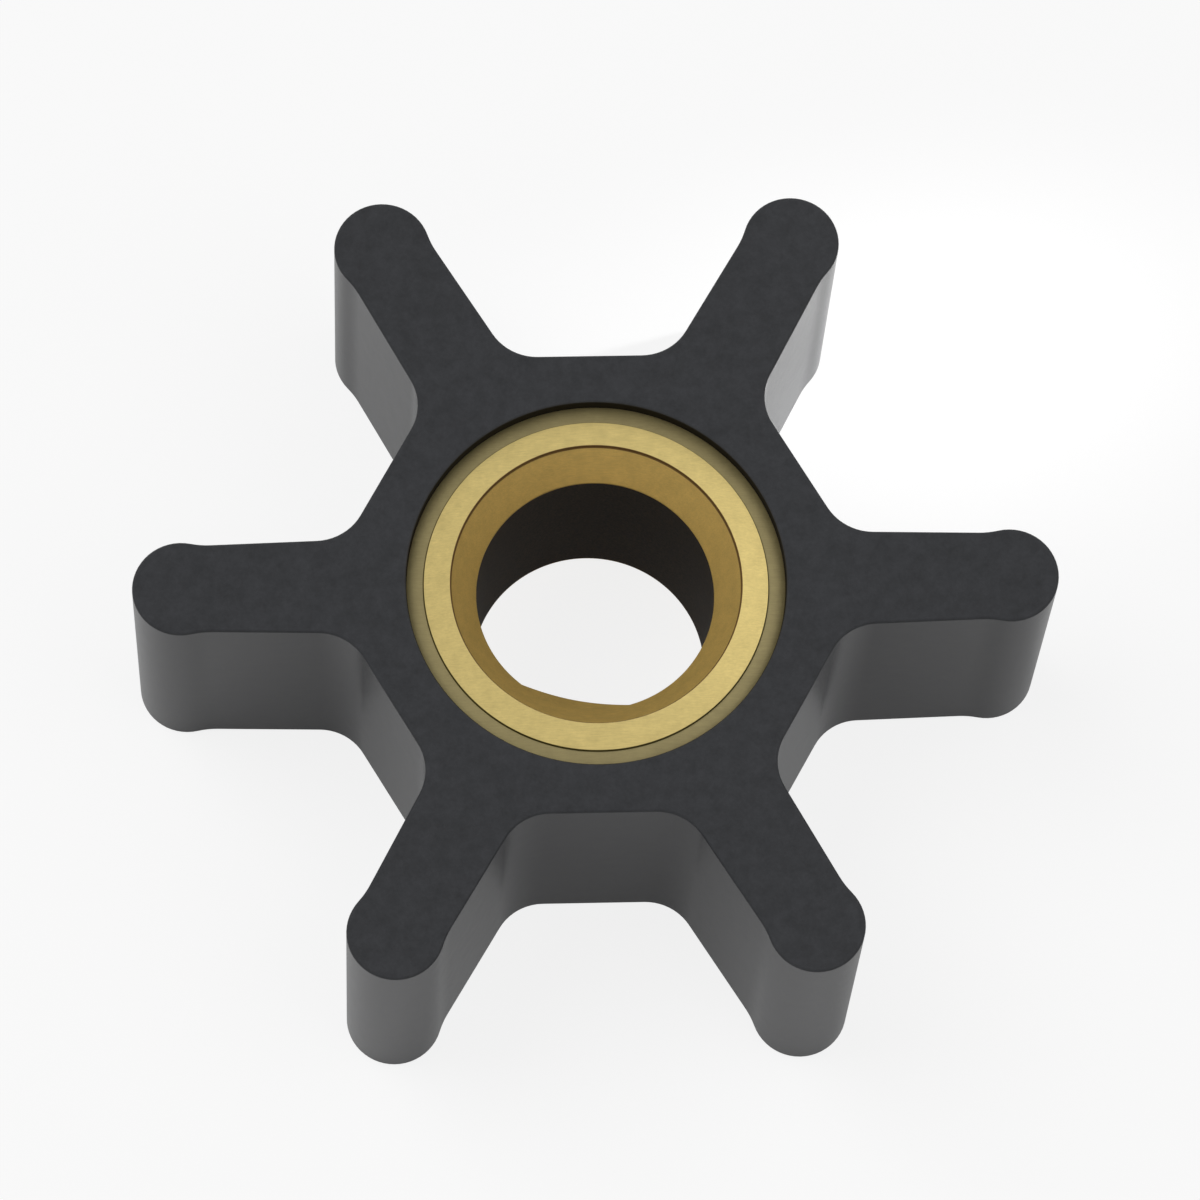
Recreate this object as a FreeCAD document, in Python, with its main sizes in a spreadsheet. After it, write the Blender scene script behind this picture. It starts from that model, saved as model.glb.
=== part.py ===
import FreeCAD, Part
import math
import os
import Sketcher

# Rubber pump impeller, in millimetres.
#
# A moulded rubber body with flexible blades is bonded round a turned brass
# insert. Each blade thins slightly towards its end, which is a round bead that
# wipes the wall of the pump chamber. The insert is countersunk at both ends,
# and its bore has one flat, which takes the drive of the shaft.
#
# The impeller stands on the lower faces of its blades at Z = 0, the axis of the
# shaft is the Z axis, and one blade points along +X. Both pieces are drawn
# about their middle plane and lifted by half the width of the impeller.

# Driving sizes: name, value, what it is
SIZES = [
    ("impeller_diameter", 57.0, "over the beads of opposite blades"),
    ("impeller_width", 20.3, "rubber body, along the shaft"),
    ("blade_count", 6, "blades, evenly spaced"),
    ("blade_thickness", 5.62, "blade at its thinnest, where it meets the bead's neck"),
    ("blade_taper", 1.5, "degrees that each side of a blade leans out towards the hub"),
    ("bead_swell", 0.18, "how far the bead stands out from each side of the blade"),
    ("neck_radius", 5.2, "hollow between the blade's side and its bead"),
    ("root_radius", 3.25, "hollow between the blade's side and the hub"),
    ("hub_wall", 3.1, "rubber over the insert at the middle of a hub flat"),
    ("moulded_edge", 0.2, "small bevel round both ends of the rubber"),
    ("bore_diameter", 14.7, "shaft bore of the insert"),
    ("bore_flat_depth", 0.9, "depth of the flat inside the bore's circle"),
    ("bore_flat_angle", 258.0, "degrees from +X to the middle of the flat"),
    ("mouth_width", 1.62, "countersink, measured along the radius"),
    ("mouth_angle", 72.0, "degrees, whole angle of the countersink"),
    ("lip_height", 0.2, "small step where the end face drops to the countersink"),
    ("face_width", 1.66, "bright end face, measured along the radius"),
    ("face_rise", 0.4, "how much the end face rises towards the bore"),
    ("step_height", 0.2, "step from the outer ledge up to the end face"),
    ("ledge_width", 1.05, "dull outer ledge, measured along the radius"),
    ("ledge_recess", 0.95, "how far the ledge lies below the rubber's end"),
    ("key_width", 2.4, "groove in the insert that the rubber fills"),
    ("key_depth", 0.8, "the same groove, from the insert's outside"),
    ("key_spacing", 7.0, "between the middles of the two grooves"),
]

# Radii and heights that both pieces share, worked out from the sizes. Heights
# are above the middle plane.
BORE_RADIUS = "Sizes.bore_diameter / 2"
MOUTH_RADIUS = BORE_RADIUS + " + Sizes.mouth_width"
FACE_RADIUS = MOUTH_RADIUS + " + Sizes.face_width"
INSERT_RADIUS = FACE_RADIUS + " + Sizes.ledge_width"
KEY_RADIUS = INSERT_RADIUS + " - Sizes.key_depth"
HUB_FLAT_RADIUS = INSERT_RADIUS + " + Sizes.hub_wall"
RUBBER_TOP = "Sizes.impeller_width / 2"
LEDGE_TOP = RUBBER_TOP + " - Sizes.ledge_recess"
STEP_TOP = LEDGE_TOP + " + Sizes.step_height"
FACE_TOP = STEP_TOP + " + Sizes.face_rise"
MOUTH_TOP = FACE_TOP + " - Sizes.lip_height"
KEY_OUTER = "(Sizes.key_spacing + Sizes.key_width) / 2"
KEY_INNER = "(Sizes.key_spacing - Sizes.key_width) / 2"
MOUTH_POINT = MOUTH_TOP + " - (" + MOUTH_RADIUS + ") / tan(Sizes.mouth_angle * 1 deg / 2)"
HUB_CORNER_RADIUS = "(" + HUB_FLAT_RADIUS + ") / cos(180 deg / Sizes.blade_count)"
BEAD_RADIUS = "Sizes.blade_thickness / 2 + Sizes.bead_swell"
BEAD_DISTANCE = "Sizes.impeller_diameter / 2 - (" + BEAD_RADIUS + ")"
BORE_FLAT_DISTANCE = BORE_RADIUS + " - Sizes.bore_flat_depth"

# Lengths below which two places are one, and the largest angle at a smooth joint
TOUCHING = 0.001
SHARPEST_SMOOTH_JOINT = 5.0

ORIGIN_POINT = (-1, 1)
# Numbers that the sketcher gives its own axes and the points of a curve
X_AXIS, Y_AXIS = -1, -2
START, END, CENTRE = 1, 2, 3


def make_size_sheet(doc):
    """Write the driving sizes into a spreadsheet, one named cell each."""
    sheet = doc.addObject("Spreadsheet::Sheet", "Sizes")
    for row, (name, value, note) in enumerate(SIZES, start=1):
        sheet.set("A%d" % row, name)
        sheet.set("B%d" % row, str(value))
        sheet.set("C%d" % row, note)
        sheet.setAlias("B%d" % row, name)
    doc.recompute()


def make_body(doc, name):
    """Start a piece whose middle plane lies at half the impeller's width."""
    body = doc.addObject("PartDesign::Body", name)
    body.Label = name
    body.setExpression(".Placement.Base.z", RUBBER_TOP)
    return body


def origin_feature(body, role):
    """Find a plane or an axis of the body's own origin by its role."""
    for feature in body.Origin.OriginFeatures:
        if feature.Role == role:
            return feature
    raise ValueError("no origin feature " + role)


def add_sketch(body, name, plane_role):
    """Add a sketch on one of the body's own origin planes."""
    sketch = body.newObject("Sketcher::SketchObject", name)
    sketch.AttachmentSupport = (origin_feature(body, plane_role), [""])
    sketch.MapMode = "FlatFace"
    return sketch


def value_of(sketch, expression):
    """Work out an expression of named sizes, to place a line near its end."""
    return float(sketch.evalExpression(expression))


def add_size(sketch, expression, kind, *places):
    """Add a dimension to a sketch and bind it to named sizes."""
    value = value_of(sketch, expression)
    if kind == "Angle":
        value = math.radians(value)
        expression = "(%s) * 1 deg" % expression
    index = sketch.addConstraint(Sketcher.Constraint(kind, *places, value))
    sketch.setExpression("Constraints[%d]" % index, expression)


def draw_profile(sketch, corners):
    """Draw a closed outline of straight lines, each corner held by its radius and height."""
    points = []
    for radius, height in corners:
        points.append(FreeCAD.Vector(value_of(sketch, radius), value_of(sketch, height), 0))
    lines = []
    for start, end in zip(points, points[1:] + points[:1]):
        lines.append(sketch.addGeometry(Part.LineSegment(start, end)))
    for line, following in zip(lines, lines[1:] + lines[:1]):
        sketch.addConstraint(Sketcher.Constraint("Coincident", line, END, following, START))
    for line, (radius, height) in zip(lines, corners):
        if radius == "0":
            sketch.addConstraint(Sketcher.Constraint("PointOnObject", line, START, Y_AXIS))
        else:
            add_size(sketch, radius, "DistanceX", *ORIGIN_POINT, line, START)
        add_size(sketch, height, "DistanceY", *ORIGIN_POINT, line, START)


def mirrored_profile(upper_corners):
    """Repeat the corners of an upper half below the middle plane, in reverse order."""
    lower_corners = [(radius, "-(%s)" % height) for radius, height in reversed(upper_corners)]
    return upper_corners + lower_corners


def draw_blade(sketch):
    """Draw one blade along +X, from the shaft axis out to its bead, all joints tangent."""
    half = value_of(sketch, "Sizes.blade_thickness / 2")
    bead = value_of(sketch, BEAD_RADIUS)
    neck = value_of(sketch, "Sizes.neck_radius")
    lean = math.radians(value_of(sketch, "Sizes.blade_taper"))
    bead_x = value_of(sketch, BEAD_DISTANCE)

    # The neck's circle touches the side of the blade and the outside of the bead
    neck_y = half + neck * math.cos(lean)
    neck_x = bead_x - math.sqrt((neck + bead) ** 2 - neck_y ** 2)
    side_end = FreeCAD.Vector(neck_x - neck * math.sin(lean), half, 0)
    side_start = FreeCAD.Vector(0, half + side_end.x * math.tan(lean), 0)
    touch = math.atan2(neck_y, neck_x - bead_x)

    def flipped(point):
        return FreeCAD.Vector(point.x, -point.y, 0)

    def arc(centre_x, centre_y, radius, start, end):
        circle = Part.Circle(FreeCAD.Vector(centre_x, centre_y, 0), FreeCAD.Vector(0, 0, 1), radius)
        return Part.ArcOfCircle(circle, start, end)

    square = math.pi / 2
    upper_side = sketch.addGeometry(Part.LineSegment(side_start, side_end))
    upper_neck = sketch.addGeometry(arc(neck_x, neck_y, neck, -square - lean, touch - math.pi))
    bead_arc = sketch.addGeometry(arc(bead_x, 0, bead, -touch, touch))
    lower_neck = sketch.addGeometry(arc(neck_x, -neck_y, neck, math.pi - touch, square + lean))
    lower_side = sketch.addGeometry(Part.LineSegment(flipped(side_end), flipped(side_start)))
    inner_end = sketch.addGeometry(Part.LineSegment(flipped(side_start), side_start))

    for joint in [
        ("Tangent", upper_side, END, upper_neck, START),
        ("Tangent", upper_neck, END, bead_arc, END),
        ("Tangent", bead_arc, START, lower_neck, START),
        ("Tangent", lower_neck, END, lower_side, START),
        ("Coincident", lower_side, END, inner_end, START),
        ("Coincident", inner_end, END, upper_side, START),
        ("Symmetric", upper_side, START, lower_side, END, X_AXIS),
        ("Symmetric", upper_side, END, lower_side, START, X_AXIS),
        ("PointOnObject", upper_side, START, Y_AXIS),
        ("PointOnObject", bead_arc, CENTRE, X_AXIS),
    ]:
        sketch.addConstraint(Sketcher.Constraint(*joint))
    add_size(sketch, BEAD_DISTANCE, "DistanceX", *ORIGIN_POINT, bead_arc, CENTRE)
    add_size(sketch, BEAD_RADIUS, "Radius", bead_arc)
    add_size(sketch, "Sizes.neck_radius", "Radius", upper_neck)
    add_size(sketch, "Sizes.blade_thickness / 2", "DistanceY", *ORIGIN_POINT, upper_side, END)
    add_size(sketch, "-Sizes.blade_taper", "Angle", upper_side)


def draw_drive_bore(sketch):
    """Draw the shaft bore's circle, cut off by its one flat."""
    radius = value_of(sketch, BORE_RADIUS)
    flat = value_of(sketch, BORE_FLAT_DISTANCE)
    middle = math.radians(value_of(sketch, "Sizes.bore_flat_angle"))
    half_chord = math.acos(flat / radius)
    circle = Part.Circle(FreeCAD.Vector(0, 0, 0), FreeCAD.Vector(0, 0, 1), radius)
    round_wall = Part.ArcOfCircle(circle, middle + half_chord, middle - half_chord + 2 * math.pi)
    chord = Part.LineSegment(round_wall.EndPoint, round_wall.StartPoint)
    wall = sketch.addGeometry(round_wall)
    flat_wall = sketch.addGeometry(chord)
    sketch.addConstraint(Sketcher.Constraint("Coincident", wall, CENTRE, *ORIGIN_POINT))
    sketch.addConstraint(Sketcher.Constraint("Coincident", wall, END, flat_wall, START))
    sketch.addConstraint(Sketcher.Constraint("Coincident", flat_wall, END, wall, START))
    add_size(sketch, BORE_RADIUS, "Radius", wall)
    add_size(sketch, BORE_FLAT_DISTANCE, "Distance", *ORIGIN_POINT, flat_wall)
    add_size(sketch, "Sizes.bore_flat_angle + 90", "Angle", flat_wall)


def turn_profile(body, kind, name, corners):
    """Turn a closed profile about the shaft axis, to add or to cut."""
    sketch = add_sketch(body, name + "_profile", "XZ_Plane")
    draw_profile(sketch, corners)
    turned = body.newObject(kind, name)
    turned.Profile = sketch
    turned.ReferenceAxis = (sketch, ["V_Axis"])
    turned.Angle = 360
    return turned


def corner_angle(shape, edge):
    """Angle in degrees between the two faces that meet at an edge, 0 where they are smooth."""
    middle = edge.valueAt((edge.FirstParameter + edge.LastParameter) / 2)
    normals = []
    for face in shape.ancestorsOfType(edge, Part.Face):
        u, v = face.Surface.parameter(middle)
        normals.append(face.normalAt(u, v))
    return math.degrees(normals[0].getAngle(normals[1])) if len(normals) == 2 else 0.0


def root_corners(shape):
    """Name the upright edges where a blade's side meets a flat of the hub."""
    names = []
    for index, edge in enumerate(shape.Edges, start=1):
        upright = edge.BoundBox.XLength + edge.BoundBox.YLength < TOUCHING
        if upright and corner_angle(shape, edge) > SHARPEST_SMOOTH_JOINT:
            names.append("Edge%d" % index)
    return names


def end_edges(shape):
    """Name the edges that bound the upper and the lower end of a piece."""
    bounds = shape.BoundBox
    names = []
    for index, edge in enumerate(shape.Edges, start=1):
        at_top = edge.BoundBox.ZMin > bounds.ZMax - TOUCHING
        at_bottom = edge.BoundBox.ZMax < bounds.ZMin + TOUCHING
        if at_top or at_bottom:
            names.append("Edge%d" % index)
    return names


def dress_edges(body, kind, name, base, edges, size_name, expression):
    """Round or bevel the named edges of the last feature."""
    dressed = body.newObject(kind, name)
    dressed.Base = (base, edges)
    dressed.setExpression(size_name, expression)
    return dressed


def make_rubber_body(doc):
    """Mould the hub and its blades round the seat of the insert."""
    body = make_body(doc, "rubber_body")

    hub = body.newObject("PartDesign::AdditivePrism", "hub")
    hub.AttachmentSupport = (origin_feature(body, "XY_Plane"), [""])
    hub.MapMode = "FlatFace"
    hub.setExpression(".AttachmentOffset.Base.z", "-Sizes.impeller_width / 2")
    hub.setExpression("Polygon", "Sizes.blade_count")
    hub.setExpression("Circumradius", HUB_CORNER_RADIUS)
    hub.setExpression("Height", "Sizes.impeller_width")

    blade_sketch = add_sketch(body, "blade_profile", "XY_Plane")
    draw_blade(blade_sketch)
    blade = body.newObject("PartDesign::Pad", "blade")
    blade.Profile = blade_sketch
    blade.SideType = "Symmetric"
    blade.setExpression("Length", "Sizes.impeller_width")

    blades = body.newObject("PartDesign::PolarPattern", "blades")
    blades.Originals = [blade]
    blades.Axis = (origin_feature(body, "Z_Axis"), [""])
    blades.Angle = 360
    blades.setExpression("Occurrences", "Sizes.blade_count")
    body.Tip = blades
    doc.recompute()

    roots = root_corners(blades.Shape)
    root_fillets = dress_edges(
        body, "PartDesign::Fillet", "root_fillets", blades, roots, "Radius", "Sizes.root_radius"
    )

    seat = turn_profile(body, "PartDesign::Groove", "insert_seat", mirrored_profile([
        ("0", "Sizes.impeller_width"),
        (INSERT_RADIUS, "Sizes.impeller_width"),
        (INSERT_RADIUS, KEY_OUTER),
        (KEY_RADIUS, KEY_OUTER),
        (KEY_RADIUS, KEY_INNER),
        (INSERT_RADIUS, KEY_INNER),
    ]))
    doc.recompute()

    ends = end_edges(seat.Shape)
    moulded_edges = dress_edges(
        body, "PartDesign::Chamfer", "moulded_edges", seat, ends, "Size", "Sizes.moulded_edge"
    )
    body.Tip = moulded_edges
    doc.recompute()
    check_cut(root_fillets, seat)
    return body


def make_brass_insert(doc):
    """Turn the insert, bore it to take the shaft and countersink both ends."""
    body = make_body(doc, "brass_insert")

    turned_blank = turn_profile(body, "PartDesign::Revolution", "turned_blank", mirrored_profile([
        ("0", MOUTH_TOP),
        (MOUTH_RADIUS, MOUTH_TOP),
        (MOUTH_RADIUS, FACE_TOP),
        (FACE_RADIUS, STEP_TOP),
        (FACE_RADIUS, LEDGE_TOP),
        (INSERT_RADIUS, LEDGE_TOP),
        (INSERT_RADIUS, KEY_OUTER),
        (KEY_RADIUS, KEY_OUTER),
        (KEY_RADIUS, KEY_INNER),
        (INSERT_RADIUS, KEY_INNER),
    ]))

    bore_sketch = add_sketch(body, "drive_bore_profile", "XY_Plane")
    draw_drive_bore(bore_sketch)
    drive_bore = body.newObject("PartDesign::Pocket", "drive_bore")
    drive_bore.Profile = bore_sketch
    drive_bore.SideType = "Symmetric"
    drive_bore.Type = "ThroughAll"

    upper_mouth = turn_profile(body, "PartDesign::Groove", "upper_mouth", [
        ("0", MOUTH_TOP),
        (MOUTH_RADIUS, MOUTH_TOP),
        ("0", MOUTH_POINT),
    ])
    doc.recompute()

    both_mouths = body.newObject("PartDesign::Mirrored", "both_mouths")
    both_mouths.Originals = [upper_mouth]
    both_mouths.MirrorPlane = (origin_feature(body, "XY_Plane"), [""])
    body.Tip = both_mouths
    doc.recompute()
    check_cut(turned_blank, drive_bore)
    check_cut(drive_bore, upper_mouth)
    check_cut(upper_mouth, both_mouths)
    return body


def check_cut(before, after):
    """Stop if a cut has taken nothing away."""
    if after.Shape.Volume >= before.Shape.Volume:
        raise RuntimeError(after.Name + " cuts nothing")


def check_document(doc, bodies):
    """Stop if any feature failed, any sketch is loose or any piece isn't one sound solid."""
    for thing in doc.Objects:
        if "Invalid" in thing.State or "Error" in thing.State:
            raise RuntimeError(thing.Name + " failed")
        if thing.TypeId == "Sketcher::SketchObject" and not thing.FullyConstrained:
            raise RuntimeError(thing.Name + " isn't fully constrained")
    for body in bodies:
        if body.Shape.isNull() or not body.Shape.isValid() or len(body.Shape.Solids) != 1:
            raise RuntimeError(body.Name + " isn't one valid solid")


def main():
    """Build both pieces and write each to its own file."""
    doc = FreeCAD.newDocument("pump_impeller")
    make_size_sheet(doc)
    bodies = [make_rubber_body(doc), make_brass_insert(doc)]
    check_document(doc, bodies)
    os.makedirs("parts", exist_ok=True)
    for body in bodies:
        body.Shape.exportStep("parts/%s.step" % body.Label)
        print(body.Label, round(body.Shape.Volume, 1), "cubic mm")


main()
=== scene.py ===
import logging
import math
from collections.abc import Callable
from dataclasses import dataclass
from enum import Enum

import bmesh
import bpy
from mathutils import Matrix, Vector


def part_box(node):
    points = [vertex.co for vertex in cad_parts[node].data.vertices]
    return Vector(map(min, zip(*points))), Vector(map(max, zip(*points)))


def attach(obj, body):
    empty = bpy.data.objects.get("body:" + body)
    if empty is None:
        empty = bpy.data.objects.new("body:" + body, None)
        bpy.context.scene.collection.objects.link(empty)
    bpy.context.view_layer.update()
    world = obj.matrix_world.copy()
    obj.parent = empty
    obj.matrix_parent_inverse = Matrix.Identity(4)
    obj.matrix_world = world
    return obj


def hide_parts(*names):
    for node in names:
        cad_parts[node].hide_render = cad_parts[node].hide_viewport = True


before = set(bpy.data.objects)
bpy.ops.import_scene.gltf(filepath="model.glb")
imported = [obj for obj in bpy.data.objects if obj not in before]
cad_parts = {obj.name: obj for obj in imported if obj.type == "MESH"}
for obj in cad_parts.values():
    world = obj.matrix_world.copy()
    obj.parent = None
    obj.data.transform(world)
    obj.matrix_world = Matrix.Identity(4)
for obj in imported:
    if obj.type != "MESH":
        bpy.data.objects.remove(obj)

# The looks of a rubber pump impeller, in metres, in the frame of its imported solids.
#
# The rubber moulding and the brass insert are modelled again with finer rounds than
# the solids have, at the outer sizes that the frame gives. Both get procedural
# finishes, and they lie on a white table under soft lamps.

MM = 0.001
TOUCHING = 0.001 * MM
# The height of its normal up to which a face is a wall
WALL_TILT = 0.5
# The cosine above which two directions count as one
SAME_WAY = 0.99
ROUND_PROFILE = 0.5
WHITE = "#ffffff"
UP = Vector((0.0, 0.0, 1.0))

Rgba = tuple[float, float, float, float]
Tree = bpy.types.NodeTree
Socket = bpy.types.NodeSocket
MeshPart = bmesh.types.BMVert | bmesh.types.BMEdge | bmesh.types.BMFace

log = logging.getLogger("impeller")


class Slot(Enum):
    """Names of material slots for the two pieces, which nothing in this script uses."""

    RUBBER = "rubber"
    BRASS = "brass"


class Parts(Enum):
    """What a selection picks, by the name of the select mode."""

    VERTICES = "VERT"
    EDGES = "EDGE"
    FACES = "FACE"


class Turn(Enum):
    """Which way an outline bends as it is walked. The spin operator counts clockwise as positive."""

    LEFT = -1.0
    RIGHT = 1.0


def linear_rgba(hex_colour: str) -> Rgba:
    """Turn an sRGB hex colour into the linear colour that a shader takes.

    Args:
        hex_colour: Six hex digits after a hash sign.

    Returns:
        Red, green and blue from 0 to 1, and an alpha of 1.
    """
    channels = []
    for start in (1, 3, 5):
        level = int(hex_colour[start:start + 2], 16) / 255.0
        channels.append(level / 12.92 if level <= 0.04045 else ((level + 0.055) / 1.055) ** 2.4)
    return channels[0], channels[1], channels[2], 1.0


def add_node(
    tree: Tree, kind: str, inputs: dict[str | int, object] | None = None, **settings: object
) -> bpy.types.Node:
    """Add a node, set it up and link it.

    Args:
        tree: The node tree that gets the node.
        kind: The node's type name.
        inputs: Values by socket name or number; a socket as the value is linked.
        **settings: The node's own properties.

    Returns:
        The new node.
    """
    node = tree.nodes.new(kind)
    for name, value in settings.items():
        setattr(node, name, value)
    for name, value in (inputs or {}).items():
        if isinstance(value, Socket):
            tree.links.new(value, node.inputs[name])
        else:
            node.inputs[name].default_value = value
    return node


def new_material(name: str) -> tuple[bpy.types.Material, Tree]:
    """Start a material with an empty node tree.

    Args:
        name: The real material's name.

    Returns:
        The material and its tree.
    """
    material = bpy.data.materials.new(name)
    material.use_nodes = True
    material.node_tree.nodes.clear()
    return material, material.node_tree


def set_ramp(ramp: bpy.types.ColorRamp, stops: list[tuple[float, Rgba]]) -> None:
    """Give a colour ramp its stops.

    Args:
        ramp: The ramp to set, which starts with two stops.
        stops: Places from 0 to 1 and their linear colours, in order.
    """
    halfway = 0.5
    while len(ramp.elements) < len(stops):
        ramp.elements.new(halfway)
    for element, (place, colour) in zip(ramp.elements, stops):
        element.position = place
        element.color = colour


def distance_from_axis(tree: Tree, place: Socket) -> Socket:
    """Measure how far a point lies from the impeller's axis.

    Args:
        tree: The material's tree.
        place: Object coordinates.

    Returns:
        The distance.
    """
    flat = add_node(tree, "ShaderNodeVectorMath", {0: place, 1: (1.0, 1.0, 0.0)}, operation="MULTIPLY")
    distance = add_node(tree, "ShaderNodeVectorMath", {0: flat.outputs["Vector"]}, operation="LENGTH")
    return distance.outputs["Value"]


def distance_from_middle(tree: Tree, place: Socket, middle: float) -> Socket:
    """Measure how far a point lies above or below the impeller's middle plane.

    Args:
        tree: The material's tree.
        place: Object coordinates.
        middle: Height of the plane.

    Returns:
        The distance.
    """
    parts = add_node(tree, "ShaderNodeSeparateXYZ", {"Vector": place})
    height = add_node(tree, "ShaderNodeMath", {0: parts.outputs["Z"], 1: middle}, operation="SUBTRACT")
    distance = add_node(tree, "ShaderNodeMath", {0: height.outputs["Value"]}, operation="ABSOLUTE")
    return distance.outputs["Value"]


def deselect_everything() -> None:
    """Leave edit mode and deselect every object, because operators act on all that is selected."""
    if bpy.context.mode != "OBJECT":
        bpy.ops.object.mode_set(mode="OBJECT")
    bpy.ops.object.select_all(action="DESELECT")


def pick_only(piece: bpy.types.Object) -> None:
    """Select one piece, alone and in object mode.

    Args:
        piece: The mesh object to work on.
    """
    deselect_everything()
    piece.select_set(True)
    bpy.context.view_layer.objects.active = piece


def edit_only(piece: bpy.types.Object) -> None:
    """Open one piece in edit mode with nothing in it selected.

    Args:
        piece: The mesh object to work on.
    """
    pick_only(piece)
    bpy.ops.object.mode_set(mode="EDIT")
    bpy.ops.mesh.select_all(action="DESELECT")


def select_parts(kind: Parts, wanted: Callable[[MeshPart], bool]) -> None:
    """Select the parts of the edited mesh that pass a test, and nothing else.

    Args:
        kind: Whether vertices, edges or faces are tested.
        wanted: The test.
    """
    bpy.ops.mesh.select_mode(type=kind.value)
    bpy.ops.mesh.select_all(action="DESELECT")
    mesh = bpy.context.edit_object.data
    shape = bmesh.from_edit_mesh(mesh)
    shape.normal_update()
    tested = {Parts.VERTICES: shape.verts, Parts.EDGES: shape.edges, Parts.FACES: shape.faces}[kind]
    for part in tested:
        if wanted(part):
            part.select_set(True)
    shape.select_flush_mode()
    bmesh.update_edit_mesh(mesh)


def is_wall(face: bmesh.types.BMFace) -> bool:
    """Tell the walls along the shaft from the faces across it."""
    return abs(face.normal.z) < WALL_TILT


def close_up_shape() -> None:
    """Merge doubles in the edited mesh and turn its faces outwards."""
    bpy.ops.mesh.select_all(action="SELECT")
    bpy.ops.mesh.remove_doubles(threshold=TOUCHING)
    bpy.ops.mesh.normals_make_consistent(inside=False)


def smooth_piece(piece: bpy.types.Object, sharpest: float) -> None:
    """Shade a piece smooth, keeping its large faces flat up to their rounded edges.

    Args:
        piece: The finished mesh object.
        sharpest: The largest angle, in radians, that is still shaded smooth.
    """
    pick_only(piece)
    bpy.ops.object.shade_smooth_by_angle(angle=sharpest)
    weighted = piece.modifiers.new("flat_faces", "WEIGHTED_NORMAL")
    weighted.keep_sharp = True
    bpy.ops.object.modifier_apply(modifier=weighted.name)


def report_piece(piece: bpy.types.Object) -> None:
    """Log a finished piece's name, faces and size."""
    size = piece.dimensions / MM
    log.info("%s: %d faces, %.2f x %.2f x %.2f mm", piece.name, len(piece.data.polygons), *size)


@dataclass(frozen=True)
class Pattern:
    """A noise whose coarsest marks are as large as the real ones, with finer ones in them."""

    size: float
    detail: float
    roughness: float = 0.5

    def sockets(self) -> dict[str, float]:
        """Give a noise node's values by socket name."""
        return {"Scale": 1.0 / self.size, "Detail": self.detail, "Roughness": self.roughness}


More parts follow.
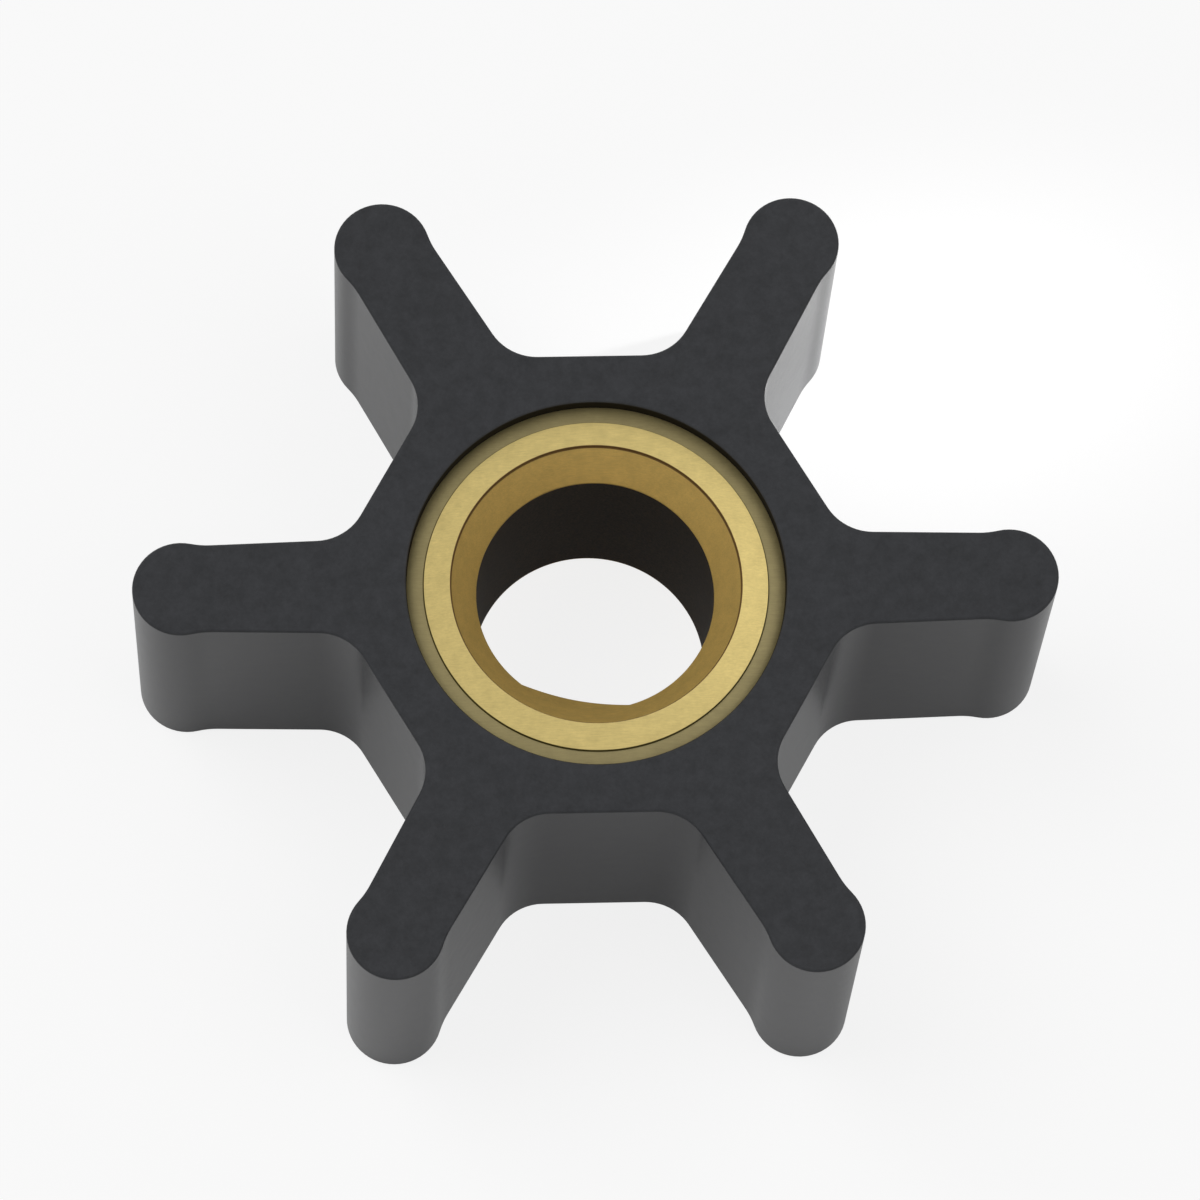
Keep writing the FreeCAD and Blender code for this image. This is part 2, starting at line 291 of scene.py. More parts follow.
@dataclass(frozen=True)
class NitrileRubber:
    """Black nitrile rubber, moulded: a satin skin on the walls, and ends that were ground matt."""

    width: float
    seat_radius: float
    dark: str = "#313234"
    light: str = "#434447"
    dark_below: float = 0.32
    light_above: float = 0.68
    clouds: Pattern = Pattern(size=1.0 * MM, detail=8.0, roughness=0.8)
    grain: Pattern = Pattern(size=0.12 * MM, detail=2.0)
    grain_depth: float = 0.004 * MM
    wall_roughness: float = 0.18
    end_roughness: float = 0.5
    uneven_gloss: float = 0.08
    skin_depth: float = 0.2 * MM
    matt_depth: float = 0.05 * MM
    specular: float = 0.5
    ior: float = 1.35
    # Colour of the painted shade in the recess round the insert, also standing for the cement line
    painted_seat_shade: str = "#3a3730"
    seat_shade_spread: float = 0.05 * MM

    def material(self) -> bpy.types.Material:
        """Make the material.

        Returns:
            The moulded rubber.
        """
        material, tree = new_material("moulded nitrile rubber")
        place = add_node(tree, "ShaderNodeTexCoord").outputs["Object"]
        # Carbon black and bloom aren't quite even, which the eye sees as faint clouds
        clouds = add_node(tree, "ShaderNodeTexNoise", {"Vector": place, **self.clouds.sockets()})
        tones = add_node(tree, "ShaderNodeValToRGB", {"Fac": clouds.outputs["Fac"]})
        tone_stops = [(self.dark_below, linear_rgba(self.dark)), (self.light_above, linear_rgba(self.light))]
        set_ramp(tones.color_ramp, tone_stops)
        gloss = add_node(
            tree,
            "ShaderNodeMath",
            {0: clouds.outputs["Fac"], 1: self.uneven_gloss, 2: self.skin_roughness(tree, place)},
            operation="MULTIPLY_ADD",
        )
        # The mould's eroded steel leaves a fine grain, drawn as coarse as it needs to be to show
        grain = add_node(tree, "ShaderNodeTexNoise", {"Vector": place, **self.grain.sockets()})
        relief = add_node(
            tree, "ShaderNodeBump", {"Height": grain.outputs["Fac"], "Distance": self.grain_depth}
        )
        # A thin dark band without gloss round the insert is painted shade of the recess, which also stands
        # for the bonding cement line
        seat_shaded = self.seat_shade_share(tree, place)
        tone = add_node(
            tree,
            "ShaderNodeMixRGB",
            {"Fac": seat_shaded, "Color1": tones.outputs["Color"], "Color2": linear_rgba(self.painted_seat_shade)},
        )
        specular = add_node(
            tree, "ShaderNodeMapRange", {"Value": seat_shaded, "To Min": self.specular, "To Max": 0.0}
        )
        skin = add_node(
            tree,
            "ShaderNodeBsdfPrincipled",
            {
                "Base Color": tone.outputs["Color"],
                "Roughness": gloss.outputs["Value"],
                "Specular IOR Level": specular.outputs["Result"],
                "IOR": self.ior,
                "Normal": relief.outputs["Normal"],
            },
        )
        add_node(tree, "ShaderNodeOutputMaterial", {"Surface": skin.outputs["BSDF"]})
        return material

    def seat_shade_share(self, tree: Tree, place: Socket) -> Socket:
        """Find the band of painted shade round the insert, which also stands for the bonding cement line.

        Args:
            tree: The material's tree.
            place: Object coordinates.

        Returns:
            1 at the seat and 0 on the skin.
        """
        share = add_node(
            tree,
            "ShaderNodeMapRange",
            {
                "Value": distance_from_axis(tree, place),
                "From Min": self.seat_radius + self.seat_shade_spread / 2,
                "From Max": self.seat_radius + self.seat_shade_spread,
                "To Min": 1.0,
                "To Max": 0.0,
            },
        )
        return share.outputs["Result"]

    def skin_roughness(self, tree: Tree, place: Socket) -> Socket:
        """Tell the ground ends from the moulded walls by their distance from the middle plane.

        The gloss fades into the matt end between the two depths below it.

        Args:
            tree: The material's tree.
            place: Object coordinates.

        Returns:
            The roughness.
        """
        middle = self.width / 2
        roughness = add_node(
            tree,
            "ShaderNodeMapRange",
            {
                "Value": distance_from_middle(tree, place, middle),
                "From Min": middle - self.skin_depth,
                "From Max": middle - self.matt_depth,
                "To Min": self.wall_roughness,
                "To Max": self.end_roughness,
            },
        )
        return roughness.outputs["Result"]


@dataclass(frozen=True)
class BrassZone:
    """One turned surface of the insert, out to a radius, with what the cut and the years left on it, or with
    painted shade.
    """

    outer_radius: float
    colour: str
    roughness: float
    metallic: float

    def tone(self) -> Rgba:
        """Give the linear colour."""
        return linear_rgba(self.colour)

    def film(self) -> Rgba:
        """Give the roughness as red and the metallic share as green, so that a ramp can hold both."""
        return self.roughness, self.metallic, 0.0, 1.0


@dataclass(frozen=True)
class TurnedBrass:
    """Free-cutting brass, turned: fine rings on the bright faces, a dull film where nothing rubs it, painted
    shade in the bore and thin lines of painted shade at the lip and the step.
    """

    zones: tuple[BrassZone, ...]
    bore: BrassZone
    middle: float
    cone_start: float
    cone_slope: float
    rings: Pattern = Pattern(size=0.09 * MM, detail=3.0, roughness=0.6)
    ring_depth: float = 0.0012 * MM
    stains: Pattern = Pattern(size=0.9 * MM, detail=6.0, roughness=0.7)
    stain_strength: float = 0.2
    scratches: Pattern = Pattern(size=0.08 * MM, detail=4.0, roughness=0.7)
    scratch_stretch: float = 12.0
    scratch_strength: float = 0.22
    pits: Pattern = Pattern(size=0.15 * MM, detail=2.0)
    pit_strength: float = 1.6
    blend: float = 0.01 * MM
    ramp_margin: float = 0.04 * MM
    bore_blend: float = 0.1 * MM

    def material(self) -> bpy.types.Material:
        """Make the material.

        Returns:
            The turned brass.
        """
        material, tree = new_material("turned brass")
        place = add_node(tree, "ShaderNodeTexCoord").outputs["Object"]
        radius = distance_from_axis(tree, place)
        clean, film = self.turned_surfaces(tree, place, radius)
        films = add_node(tree, "ShaderNodeSeparateColor", {"Color": film})
        # Handling and coolant leave the brass a little uneven, which keeps it from looking painted
        stained = self.vary(tree, clean, place, self.stains, self.stain_strength)
        # A last pass with abrasive cloth drew straight scratches over the ends. The real ones are
        # finer, and these are as wide as they need to be to show
        along = add_node(
            tree,
            "ShaderNodeVectorMath",
            {0: place, 1: (1.0 / self.scratch_stretch, 1.0, 1.0)},
            operation="MULTIPLY",
        )
        brushed = self.vary(tree, stained, along.outputs["Vector"], self.scratches, self.scratch_strength)
        # The lathe tool's fine rings stretch each highlight round the axis
        rings = add_node(
            tree, "ShaderNodeTexNoise", {"W": radius, **self.rings.sockets()}, noise_dimensions="1D"
        )
        relief = add_node(
            tree, "ShaderNodeBump", {"Height": rings.outputs["Fac"], "Distance": self.ring_depth}
        )
        metal = add_node(
            tree,
            "ShaderNodeBsdfPrincipled",
            {
                "Base Color": brushed,
                "Metallic": films.outputs["Green"],
                "Roughness": films.outputs["Red"],
                "Normal": relief.outputs["Normal"],
            },
        )
        add_node(tree, "ShaderNodeOutputMaterial", {"Surface": metal.outputs["BSDF"]})
        return material

    @property
    def reach(self) -> tuple[float, float]:
        """The radii between which the ramps change, kept close because a ramp has few steps."""
        margin = self.ramp_margin
        return self.zones[0].outer_radius - margin, self.zones[-2].outer_radius + margin

    def turned_surfaces(self, tree: Tree, place: Socket, radius: Socket) -> tuple[Socket, Socket]:
        """Give each surface its own looks, on the ends by the radius and in the bore by the depth.

        Args:
            tree: The material's tree.
            place: Object coordinates.
            radius: The distance from the axis.

        Returns:
            The colour, and the film with roughness as red and the metallic share as green.
        """
        inner, outer = self.reach
        along = add_node(
            tree, "ShaderNodeMapRange", {"Value": radius, "From Min": inner, "From Max": outer}
        )
        in_bore = self.bore_share(tree, place, radius)
        # The bore's dark colour is painted shade of the deep bore, partly dark oxide; scale and pits, where
        # nothing rubs, break it up
        pitted_bore_shade = self.vary(tree, self.bore.tone()[:3], place, self.pits, self.pit_strength)
        looks = []
        for value_of, in_the_bore in ((BrassZone.tone, pitted_bore_shade), (BrassZone.film, self.bore.film())):
            ends = add_node(tree, "ShaderNodeValToRGB", {"Fac": along.outputs["Result"]})
            set_ramp(ends.color_ramp, self.stops(value_of))
            look = add_node(
                tree,
                "ShaderNodeMixRGB",
                {"Fac": in_bore, "Color1": ends.outputs["Color"], "Color2": in_the_bore},
            )
            looks.append(look.outputs["Color"])
        return looks[0], looks[1]

    def bore_share(self, tree: Tree, place: Socket, radius: Socket) -> Socket:
        """Find the bore, which lies deeper than the countersink would at the same radius.

        Args:
            tree: The material's tree.
            place: Object coordinates.
            radius: The distance from the axis.

        Returns:
            0 outside the bore and 1 in it.
        """
        height = distance_from_middle(tree, place, self.middle)
        cone = add_node(
            tree,
            "ShaderNodeMath",
            {0: radius, 1: self.cone_slope, 2: self.cone_start},
            operation="MULTIPLY_ADD",
        )
        depth = add_node(tree, "ShaderNodeMath", {0: cone.outputs["Value"], 1: height}, operation="SUBTRACT")
        deep = add_node(
            tree,
            "ShaderNodeMapRange",
            {"Value": depth.outputs["Value"], "From Min": self.bore_blend / 2, "From Max": self.bore_blend},
        )
        inside = add_node(
            tree,
            "ShaderNodeMath",
            {0: radius, 1: self.bore.outer_radius + self.bore_blend},
            operation="LESS_THAN",
        )
        both = add_node(
            tree,
            "ShaderNodeMath",
            {0: deep.outputs["Result"], 1: inside.outputs["Value"]},
            operation="MULTIPLY",
        )
        return both.outputs["Value"]

    def vary(
        self,
        tree: Tree,
        tone: Socket | tuple[float, ...],
        place: Socket,
        pattern: Pattern,
        strength: float,
    ) -> Socket:
        """Make a colour lighter and darker in a pattern.

        Args:
            tree: The material's tree.
            tone: The colour.
            place: The coordinates that the pattern lies in.
            pattern: The pattern.
            strength: The largest share that is added or taken away.

        Returns:
            The varied colour.
        """
        noise = add_node(tree, "ShaderNodeTexNoise", {"Vector": place, **pattern.sockets()})
        level = add_node(
            tree,
            "ShaderNodeMapRange",
            {"Value": noise.outputs["Fac"], "To Min": 1.0 - strength, "To Max": 1.0 + strength},
        )
        varied = add_node(
            tree, "ShaderNodeVectorMath", {0: tone, "Scale": level.outputs["Result"]}, operation="SCALE"
        )
        return varied.outputs["Vector"]

    def stops(self, value_of: Callable[[BrassZone], Rgba]) -> list[tuple[float, Rgba]]:
        """Lay out a ramp over the radius, with a short step where one zone ends and the next starts.

        Args:
            value_of: What the ramp holds for a zone.

        Returns:
            The ramp's stops.
        """
        start, end = self.reach
        stops = []
        for inner, outer in zip(self.zones, self.zones[1:]):
            for offset, zone in ((-self.blend, inner), (self.blend, outer)):
                place = (inner.outer_radius + offset - start) / (end - start)
                stops.append((place, value_of(zone)))
        return stops


@dataclass(frozen=True)
class KeyGrooves:
    """Two grooves round the insert that the rubber fills, so that the bond can't creep."""

    width: float = 2.4 * MM
    depth: float = 0.8 * MM
    spacing: float = 7.0 * MM

    def bands(self, middle: float) -> list[tuple[float, float]]:
        """Give each groove's lower and upper height, from the height of the middle plane."""
        centres = (middle - self.spacing / 2, middle + self.spacing / 2)
        return [(centre - self.width / 2, centre + self.width / 2) for centre in centres]

    def form(self, middle: float, grooved: Callable[[bmesh.types.BMFace], bool], swell: float) -> None:
        """Split a wall of the edited mesh at the grooves' edges and move the bands between them.

        Args:
            middle: Height of the middle plane.
            grooved: Tells the faces that the grooves run round.
            swell: How far the bands go out along their normals, or in if it is negative.
        """
        bands = self.bands(middle)
        for band in bands:
            for height in band:
                select_parts(Parts.FACES, grooved)
                bpy.ops.mesh.bisect(plane_co=height * UP, plane_no=UP)

        def is_in_band(face: bmesh.types.BMFace) -> bool:
            """Tell the faces between the edges of a groove."""
            height = face.calc_center_median().z
            return grooved(face) and any(lower < height < upper for lower, upper in bands)

        select_parts(Parts.FACES, is_in_band)
        bpy.ops.mesh.extrude_region_shrink_fatten(TRANSFORM_OT_shrink_fatten={"value": swell})


@dataclass
class OutlinePen:
    """Walks an outline in edit mode from one selected vertex: straight by extruding, round by spinning."""

    place: Vector
    heading: float
    arc_step: float = 0.35 * MM
    fewest_steps: int = 2

    def straight(self, length: float) -> None:
        """Go ahead by a length.

        Args:
            length: In metres.
        """
        stride = length * Vector((math.cos(self.heading), math.sin(self.heading), 0.0))
        bpy.ops.mesh.extrude_region_move(TRANSFORM_OT_translate={"value": stride})
        self.place = self.place + stride

    def corner(self, angle: float, turn: Turn) -> None:
        """Turn on the spot by an angle in radians."""
        self.heading -= turn.value * angle

    def arc(self, radius: float, angle: float, turn: Turn) -> None:
        """Go round a part of a circle that the outline touches.

        Args:
            radius: The circle's radius.
            angle: How far to turn, in radians.
            turn: Which way.
        """
        side = self.heading - turn.value * math.pi / 2
        centre = self.place + radius * Vector((math.cos(side), math.sin(side), 0.0))
        steps = max(self.fewest_steps, math.ceil(radius * angle / self.arc_step))
        bpy.ops.mesh.spin(steps=steps, angle=turn.value * angle, center=centre, axis=UP)
        self.corner(angle, turn)
        side = self.heading - turn.value * math.pi / 2
        self.place = centre - radius * Vector((math.cos(side), math.sin(side), 0.0))


@dataclass
class RubberMoulding:
    """The hub and its blades, moulded in one shot round the seat of the insert."""

    width: float
    tip_radius: float
    seat_radius: float
    blade_count: int = 6
    blade_thickness: float = 5.62 * MM
    blade_lean: float = math.radians(1.5)
    bead_swell: float = 0.18 * MM
    neck_radius: float = 5.2 * MM
    root_radius: float = 3.25 * MM
    hub_wall: float = 3.1 * MM
    edge_radius: float = 0.2 * MM
    edge_segments: int = 4
    seat_steps: int = 32
    smooth_angle: float = math.radians(35.0)
    keys: KeyGrooves = KeyGrooves()

    def build(self) -> bpy.types.Object:
        """Model the moulding, dress it and put it in the solid's place.

        Returns:
            The finished piece.
        """
        piece = self.start_sector()
        self.walk_outline()
        self.raise_sector()
        self.repeat_sector()
        self.fill_keys()
        self.soften_edges()
        smooth_piece(piece, self.smooth_angle)
        piece.data.materials.append(NitrileRubber(self.width, self.seat_radius).material())
        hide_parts("rubber_body")
        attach(piece, "root")
        return piece

    @property
    def half_sector(self) -> float:
        """Angle from a blade's middle to the middle of the hub's flat beside it."""
        return math.pi / self.blade_count

    @property
    def hub_flat_radius(self) -> float:
        """Distance from the axis to a flat of the hub."""
        return self.seat_radius + self.hub_wall

    def start_sector(self) -> bpy.types.Object:
        """Start from a circle and keep the stretch of the insert's seat that lies behind one blade.

        Returns:
            The piece, in edit mode.
        """
        deselect_everything()
        bpy.ops.mesh.primitive_circle_add(
            vertices=self.blade_count * self.seat_steps, radius=self.seat_radius, fill_type="NOTHING"
        )
        piece = bpy.context.object
        piece.name = "rubber_moulding"
        edit_only(piece)
        limit = self.half_sector + TOUCHING
        select_parts(Parts.VERTICES, lambda vertex: abs(math.atan2(vertex.co.y, vertex.co.x)) > limit)
        bpy.ops.mesh.delete(type="VERT")
        return piece

    def walk_outline(self) -> None:
        """Draw one blade with half a hub flat at each side, and close it to a face with its seat."""
        # The neck's hollow arc touches the leaning side at one end and the bead at the other
        half = self.blade_thickness / 2
        bead = half + self.bead_swell
        bead_x = self.tip_radius - bead
        neck_y = half + self.neck_radius * math.cos(self.blade_lean)
        neck_x = bead_x - math.sqrt((self.neck_radius + bead) ** 2 - neck_y ** 2)
        swell_angle = math.atan2(bead_x - neck_x, neck_y)
        side_end = Vector((neck_x - self.neck_radius * math.sin(self.blade_lean), -half, 0.0))

        # The side and the hub's flat would meet in a corner, which the root's fillet rounds
        out = Vector((math.cos(self.half_sector), -math.sin(self.half_sector), 0.0))
        along = Vector((-out.y, out.x, 0.0))
        flat_middle = self.hub_flat_radius * out
        lean = math.tan(self.blade_lean)
        rise = side_end.y - flat_middle.y - (side_end.x - flat_middle.x) * lean
        flat_to_corner = rise / (along.y - along.x * lean)
        corner = flat_middle + flat_to_corner * along
        root_turn = math.pi / 2 - self.half_sector - self.blade_lean
        set_back = self.root_radius * math.tan(root_turn / 2)
        flat_length = flat_to_corner - set_back
        side_length = (side_end - corner).length - set_back

        start = self.seat_radius * out
        select_parts(Parts.VERTICES, lambda vertex: (vertex.co - start).length < TOUCHING)
        pen = OutlinePen(start, -self.half_sector)
        # The blade is the same on both sides, so the way back from the bead is the way there, reversed
        up_to_bead = (
            lambda: pen.straight(self.hub_wall),
            lambda: pen.corner(math.pi / 2, Turn.LEFT),
            lambda: pen.straight(flat_length),
            lambda: pen.arc(self.root_radius, root_turn, Turn.RIGHT),
            lambda: pen.straight(side_length),
            lambda: pen.arc(self.neck_radius, self.blade_lean + swell_angle, Turn.RIGHT),
        )
        for stroke in up_to_bead:
            stroke()
        pen.arc(bead, math.pi + 2 * swell_angle, Turn.LEFT)
        for stroke in reversed(up_to_bead):
            stroke()
        bpy.ops.mesh.select_all(action="SELECT")
        bpy.ops.mesh.remove_doubles(threshold=TOUCHING)
        bpy.ops.mesh.edge_face_add()

    def raise_sector(self) -> None:
        """Extrude the sector to the impeller's width and open it where its neighbours join on."""
        bpy.ops.mesh.extrude_region_move(TRANSFORM_OT_translate={"value": self.width * UP})
        turns = (-self.half_sector, self.half_sector)
        sides = [Vector((-math.sin(turn), math.cos(turn), 0.0)) for turn in turns]

        def lies_on(face: bmesh.types.BMFace, side: Vector) -> bool:
            """Tell whether a face lies in the plane through the axis that has this normal."""
            in_plane = abs(face.calc_center_median().dot(side)) < TOUCHING
            return in_plane and abs(face.normal.dot(side)) > SAME_WAY

        select_parts(Parts.FACES, lambda face: any(lies_on(face, side) for side in sides))
        bpy.ops.mesh.delete(type="FACE")

    def repeat_sector(self) -> None:
        """Copy the sector round the axis and join the copies to one closed shape."""
        bpy.ops.mesh.select_all(action="SELECT")
        for _ in range(self.blade_count - 1):
            bpy.ops.mesh.duplicate()
            bpy.ops.transform.rotate(value=2 * self.half_sector, orient_axis="Z", center_override=(0, 0, 0))
        close_up_shape()

    def fill_keys(self) -> None:
        """Let the rubber stand into the grooves of the insert."""

        def is_seat(face: bmesh.types.BMFace) -> bool:
            """Tell the wall that the insert sits in."""
            return is_wall(face) and face.calc_center_median().xy.length < self.seat_radius + TOUCHING

        self.keys.form(self.width / 2, is_seat, self.keys.depth)

    def soften_edges(self) -> None:
        """Round the edges of both ends as a mould leaves them."""
        ends = (0.0, self.width)

        def is_end_edge(edge: bmesh.types.BMEdge) -> bool:
            """Tell the edges where a wall meets an end."""
            at_end = any(all(abs(vertex.co.z - end) < TOUCHING for vertex in edge.verts) for end in ends)
            return at_end and any(is_wall(face) for face in edge.link_faces)

        select_parts(Parts.EDGES, is_end_edge)
        bpy.ops.mesh.bevel(
            offset=self.edge_radius, segments=self.edge_segments, profile=ROUND_PROFILE, affect="EDGES"
        )


@dataclass
class BrassInsert:
    """The turned insert: stepped ends, a countersink in each, and a bore with one flat for the drive."""

    radius: float
    bottom: float
    top: float
    bore_radius: float = 7.35 * MM
    flat_depth: float = 0.9 * MM
    flat_angle: float = math.radians(258.0)
    mouth_width: float = 1.62 * MM
    mouth_angle: float = math.radians(72.0)
    lip_height: float = 0.2 * MM
    face_width: float = 1.66 * MM
    face_rise: float = 0.4 * MM
    step_height: float = 0.2 * MM
    painted_shade_line: float = 0.035 * MM
    edge_radius: float = 0.05 * MM
    edge_segments: int = 2
    edge_angle: float = math.radians(20.0)
    smooth_angle: float = math.radians(30.0)
    round_steps: int = 192
    keys: KeyGrooves = KeyGrooves()

    def build(self) -> bpy.types.Object:
        """Model the insert, dress it and put it in the solid's place.

        Returns:
            The finished piece.
        """
        piece = self.turn_blank()
        self.keys.form(self.middle, is_wall, -self.keys.depth)
        self.cut_ends()
        self.bore_out(piece)
        self.break_edges(piece)
        smooth_piece(piece, self.smooth_angle)
        piece.data.materials.append(self.finish().material())
        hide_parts("brass_insert")
        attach(piece, "root")
        return piece

    @property
    def middle(self) -> float:
        """Height of the middle plane."""
        return (self.bottom + self.top) / 2

    @property
    def mouth_radius(self) -> float:
        """Radius at the wide end of the countersink."""
        return self.bore_radius + self.mouth_width

    @property
    def face_radius(self) -> float:
        """Radius at the outside of the bright end face."""
        return self.mouth_radius + self.face_width

    def finish(self) -> TurnedBrass:
        """Say what each turned surface looks like, from the countersink out to the ledge.

        The second and the fourth zone are thin lines of painted shade at the lip and at the step. The line
        at the lip is wider on the cone, which the camera sees at a slant.

        Returns:
            The finish.
        """
        cone_slope = 1.0 / math.tan(self.mouth_angle / 2)
        mouth_height = self.top - self.lip_height - self.middle
        line = self.painted_shade_line
        return TurnedBrass(
            zones=(
                BrassZone(self.mouth_radius - 2 * line, "#e4c270", roughness=0.5, metallic=0.45),
                # A thin line of painted shade at the lip
                BrassZone(self.mouth_radius + line, "#806238", roughness=0.6, metallic=0.2),
                BrassZone(self.face_radius - line, "#d8c380", roughness=0.42, metallic=1.0),
                # A thin line of painted shade at the step
                BrassZone(self.face_radius + line, "#5a5125", roughness=0.6, metallic=0.2),
                BrassZone(self.radius, "#9f9266", roughness=0.45, metallic=0.5),
            ),
            # The bore's dark colour is painted shade of the deep bore, partly dark oxide
            bore=BrassZone(self.bore_radius, "#30271c", roughness=0.65, metallic=0.8),
            middle=self.middle,
            cone_start=mouth_height - self.mouth_radius * cone_slope,
            cone_slope=cone_slope,
        )

    def turn_blank(self) -> bpy.types.Object:
        """Start from a bar as long as the distance between the two outer ledges.

        Returns:
            The piece, in edit mode.
        """
        ledge_height = self.top - self.face_rise - self.step_height
        deselect_everything()
        bpy.ops.mesh.primitive_cylinder_add(
            vertices=self.round_steps,
            radius=self.radius,
            depth=2 * (ledge_height - self.middle),
            location=self.middle * UP,
        )
        piece = bpy.context.object
        piece.name = "brass_bush"
        bpy.ops.object.transform_apply(location=True, rotation=True, scale=True)
        edit_only(piece)
        return piece

    def cut_ends(self) -> None:
        """Turn both ends at once, ring by ring from the ledge in, and a cone that the bore will cut off."""
        cone_width = self.mouth_radius - self.bore_radius / 2
        cone_depth = cone_width / math.tan(self.mouth_angle / 2)
        select_parts(Parts.FACES, lambda face: not is_wall(face) and len(face.verts) == self.round_steps)
        for width, rise in (
            (self.radius - self.face_radius, 0.0),
            (0.0, self.step_height),
            (self.face_width, self.face_rise),
            (0.0, -self.lip_height),
            (cone_width, -cone_depth),
        ):
            bpy.ops.mesh.inset(thickness=width, depth=rise)

    def bore_out(self, piece: bpy.types.Object) -> None:
        """Cut the bore with a bar of its section, a round with one flat.

        Args:
            piece: The turned blank.
        """
        deselect_everything()
        bpy.ops.mesh.primitive_circle_add(
            vertices=self.round_steps, radius=self.bore_radius, fill_type="NOTHING"
        )
        bar = bpy.context.object
        edit_only(bar)
        bpy.ops.mesh.select_all(action="SELECT")
        towards_flat = Vector((math.cos(self.flat_angle), math.sin(self.flat_angle), 0.0))
        flat_place = (self.bore_radius - self.flat_depth) * towards_flat
        bpy.ops.mesh.bisect(plane_co=flat_place, plane_no=towards_flat, clear_outer=True)
        bpy.ops.mesh.select_all(action="SELECT")
        bpy.ops.mesh.edge_face_add()
        bpy.ops.transform.translate(value=-self.bottom * UP)
        bpy.ops.mesh.extrude_region_move(TRANSFORM_OT_translate={"value": 2 * self.top * UP})
        close_up_shape()
        pick_only(piece)
        bore = piece.modifiers.new("drive_bore", "BOOLEAN")
        bore.operation = "DIFFERENCE"
        bore.solver = "EXACT"
        bore.object = bar
        bpy.ops.object.modifier_apply(modifier=bore.name)
        bpy.data.objects.remove(bar)

    def break_edges(self, piece: bpy.types.Object) -> None:
        """Take the sharpness off the turned edges.

        Args:
            piece: The bored insert.
        """
        edit_only(piece)
        close_up_shape()
        bpy.ops.mesh.select_all(action="DESELECT")
        bpy.ops.mesh.select_mode(type=Parts.EDGES.value)
        bpy.ops.mesh.edges_select_sharp(sharpness=self.edge_angle)
        bpy.ops.mesh.bevel(
            offset=self.edge_radius, segments=self.edge_segments, profile=ROUND_PROFILE, affect="EDGES"
        )


@dataclass(frozen=True)
class SoftLamp:
    """A square softbox; one that isn't mirrored lights things without showing in their gloss."""

    name: str
    place: tuple[float, float, float]
    size: float
    watts: float
    mirrored: bool = False


@dataclass(frozen=True)
class NarrowLamp:
    """A spot that brightens one patch of the table, which a glossy wall beside it shows."""

    name: str
    place: tuple[float, float, float]
    aim: tuple[float, float, float]
    cone: float
    bulb_radius: float
    watts: float
    soft_edge: float = 1.0


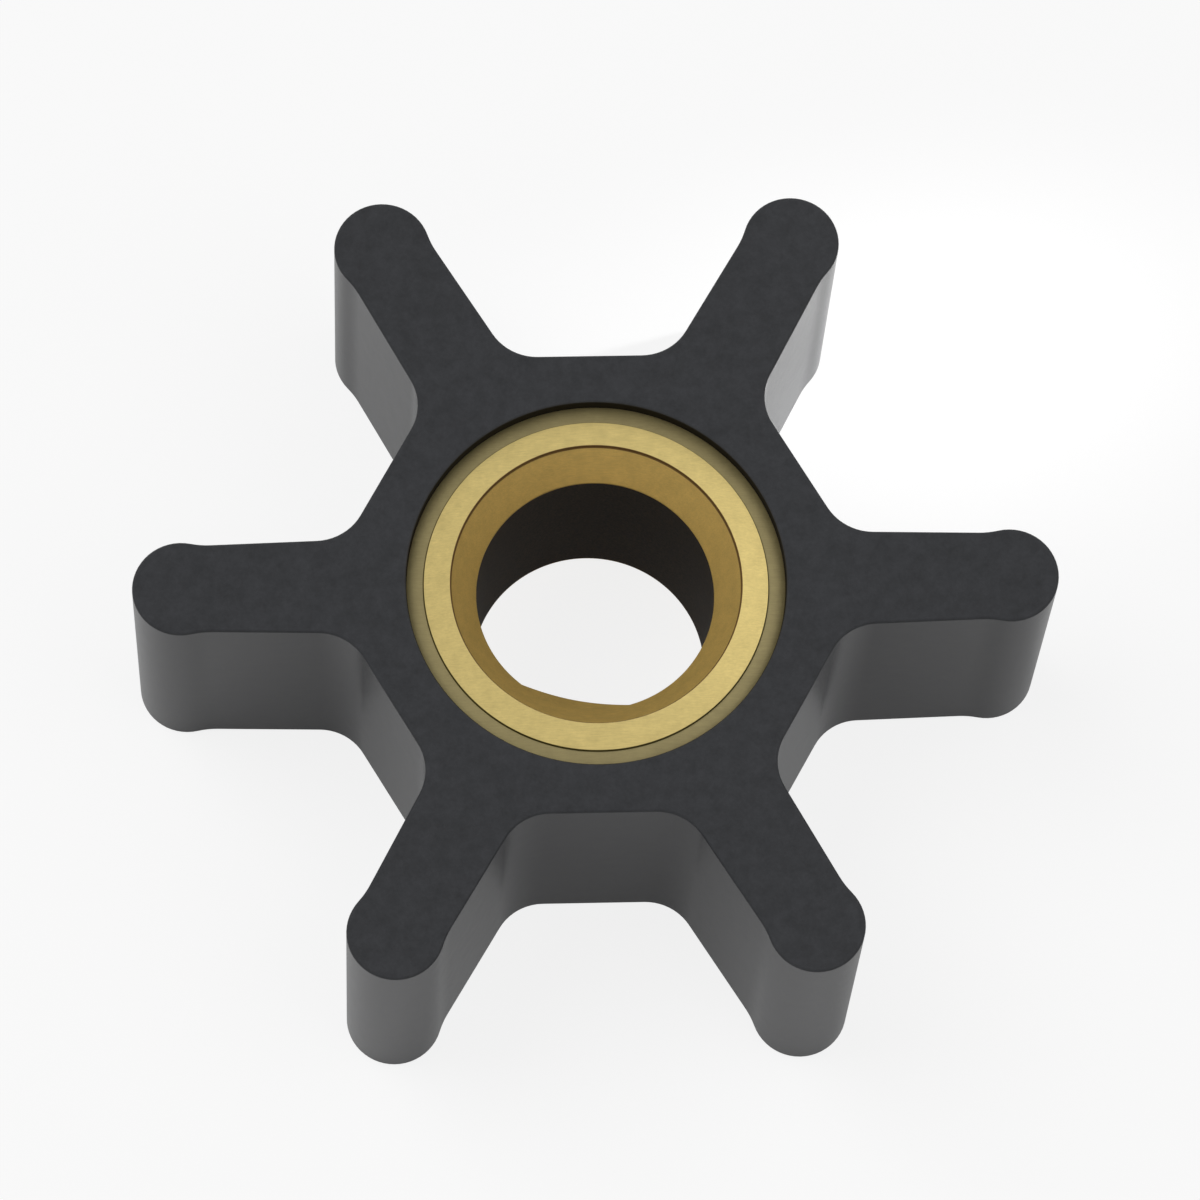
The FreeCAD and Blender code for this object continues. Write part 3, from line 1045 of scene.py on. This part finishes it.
@dataclass(frozen=True)
class WhiteTable:
    """A matt white table that keeps the object's soft shadow, under a white sky and soft lamps."""

    reach: float = 3.0
    corners: int = 96
    surface: str = "#fafafa"
    roughness: float = 0.9
    white_share: float = 0.8
    gloss_share: float = 0.16
    seen_level: float = 1.05
    sky_level: float = 0.06
    sky_white_share: float = 1.0
    sky_gloss_share: float = 0.75
    lamps: tuple[SoftLamp, ...] = (
        SoftLamp("key_softbox", (-0.552, 0.234, 1.039), size=0.8, watts=5.8),
        SoftLamp("fill_softbox", (0.552, -0.234, 1.039), size=0.8, watts=2.6),
        SoftLamp("side_softbox", (0.6, 0.42, 1.19), size=0.8, watts=1.0, mirrored=True),
    )
    rear_lamp: NarrowLamp = NarrowLamp(
        "rear_spot",
        place=(0.267, 0.086, 0.150),
        aim=(0.016, 0.019, 0.0),
        cone=math.radians(6.0),
        bulb_radius=0.008,
        watts=5.2,
    )

    def build(self) -> None:
        """Make the table, the sky and the lamps."""
        self.lay_table()
        self.hang_sky()
        self.hang_lamps()

    def seen_white(self, tree: Tree, lit: Socket, share: float, gloss_share: float) -> Socket:
        """Let what is seen be part plain white, which lights nothing.

        Args:
            tree: The material's or the world's tree.
            lit: The shader that lights the object.
            share: How much of what the camera sees, also through glass, is plain white.
            gloss_share: The same for what shows in a glossy surface.

        Returns:
            The mixed shader.
        """
        ray = add_node(tree, "ShaderNodeLightPath").outputs
        seen = add_node(
            tree,
            "ShaderNodeMath",
            {0: ray["Is Camera Ray"], 1: ray["Is Transmission Ray"]},
            operation="MAXIMUM",
        )
        direct = add_node(tree, "ShaderNodeMath", {0: seen.outputs["Value"], 1: share}, operation="MULTIPLY")
        glossy = add_node(
            tree, "ShaderNodeMath", {0: ray["Is Glossy Ray"], 1: gloss_share}, operation="MULTIPLY"
        )
        part = add_node(
            tree,
            "ShaderNodeMath",
            {0: direct.outputs["Value"], 1: glossy.outputs["Value"]},
            operation="MAXIMUM",
        )
        glow = add_node(
            tree, "ShaderNodeEmission", {"Color": linear_rgba(WHITE), "Strength": self.seen_level}
        )
        mixed = add_node(
            tree, "ShaderNodeMixShader", {0: part.outputs["Value"], 1: lit, 2: glow.outputs["Emission"]}
        )
        return mixed.outputs["Shader"]

    def lay_table(self) -> None:
        """Lay a round white table under the object."""
        deselect_everything()
        bpy.ops.mesh.primitive_circle_add(vertices=self.corners, radius=self.reach, fill_type="NGON")
        table = bpy.context.object
        table.name = "white_table"
        material, tree = new_material("matt white laminate")
        # Its fine texture scatters light evenly, so that the eye sees a soft shadow and no reflection
        laminate = add_node(
            tree,
            "ShaderNodeBsdfPrincipled",
            {"Base Color": linear_rgba(self.surface), "Roughness": self.roughness},
        )
        seen = self.seen_white(tree, laminate.outputs["BSDF"], self.white_share, self.gloss_share)
        add_node(tree, "ShaderNodeOutputMaterial", {"Surface": seen})
        table.data.materials.append(material)

    def hang_sky(self) -> None:
        """Put an even white sky round everything."""
        world = bpy.data.worlds.new("white_sky")
        world.use_nodes = True
        tree = world.node_tree
        tree.nodes.clear()
        sky = add_node(
            tree, "ShaderNodeBackground", {"Color": linear_rgba(WHITE), "Strength": self.sky_level}
        )
        seen = self.seen_white(tree, sky.outputs["Background"], self.sky_white_share, self.sky_gloss_share)
        add_node(tree, "ShaderNodeOutputWorld", {"Surface": seen})
        bpy.context.scene.world = world

    def hang_lamps(self) -> None:
        """Hang the soft lamps, turned towards the object, and the spot for the gap at the right rear."""
        for lamp in self.lamps:
            light = bpy.data.lights.new(lamp.name, "AREA")
            light.shape = "SQUARE"
            light.size = lamp.size
            light.energy = lamp.watts
            self.hang(light, Vector(lamp.place), Vector(), lamp.mirrored)
        spot = bpy.data.lights.new(self.rear_lamp.name, "SPOT")
        spot.spot_size = self.rear_lamp.cone
        spot.spot_blend = self.rear_lamp.soft_edge
        spot.shadow_soft_size = self.rear_lamp.bulb_radius
        spot.energy = self.rear_lamp.watts
        self.hang(spot, Vector(self.rear_lamp.place), Vector(self.rear_lamp.aim), mirrored=False)

    def hang(self, light: bpy.types.Light, place: Vector, aim: Vector, mirrored: bool) -> None:
        """Hang one lamp.

        Args:
            light: The lamp's data.
            place: Where it hangs.
            aim: The point that it is turned towards.
            mirrored: Whether it shows in glossy surfaces.
        """
        hung = bpy.data.objects.new(light.name, light)
        bpy.context.scene.collection.objects.link(hung)
        hung.location = place
        hung.rotation_euler = (aim - place).to_track_quat("-Z", "Y").to_euler()
        hung.visible_glossy = mirrored


@dataclass(frozen=True)
class PhotoCamera:
    """The photograph's view: from above at the front, a little to the left, the picture slightly turned."""

    azimuth: float = math.radians(-6.794)
    elevation: float = math.radians(71.709)
    roll: float = math.radians(5.496)
    distance: float = 466.8 * MM
    aim_right: float = 0.213 * MM
    aim_up: float = -1.143 * MM
    lens_mm: float = 228.07
    sensor_mm: float = 36.0

    def place(self, centre: Vector) -> None:
        """Put the camera up and make it the scene's own.

        Args:
            centre: The middle of the impeller's upper end.
        """
        level = math.cos(self.elevation)
        back = Vector(
            (level * math.sin(self.azimuth), -level * math.cos(self.azimuth), math.sin(self.elevation))
        )
        level_right = (-back).cross(UP).normalized()
        level_up = level_right.cross(-back)
        right = level_right * math.cos(self.roll) + level_up * math.sin(self.roll)
        up = level_up * math.cos(self.roll) - level_right * math.sin(self.roll)
        data = bpy.data.cameras.new("photo_camera")
        data.sensor_width = self.sensor_mm
        data.lens = self.lens_mm
        camera = bpy.data.objects.new("photo_camera", data)
        bpy.context.scene.collection.objects.link(camera)
        facing = Matrix((right, up, back)).transposed()
        place = centre + self.distance * back + self.aim_right * right + self.aim_up * up
        camera.matrix_world = Matrix.Translation(place) @ facing.to_4x4()
        bpy.context.scene.camera = camera


def main() -> None:
    """Build the pieces in order, then the table, the light and the camera."""
    logging.basicConfig(level=logging.INFO, format="%(name)s: %(message)s")
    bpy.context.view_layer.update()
    bpy.context.scene.view_settings.view_transform = "Standard"

    body_low, body_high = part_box("rubber_body")
    insert_low, insert_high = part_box("brass_insert")
    moulding = RubberMoulding(width=body_high.z, tip_radius=body_high.x, seat_radius=insert_high.x)
    report_piece(moulding.build())
    insert = BrassInsert(radius=insert_high.x, bottom=insert_low.z, top=insert_high.z)
    report_piece(insert.build())

    WhiteTable().build()
    PhotoCamera().place(body_high.z * UP)


if __name__ == "__main__":
    main()
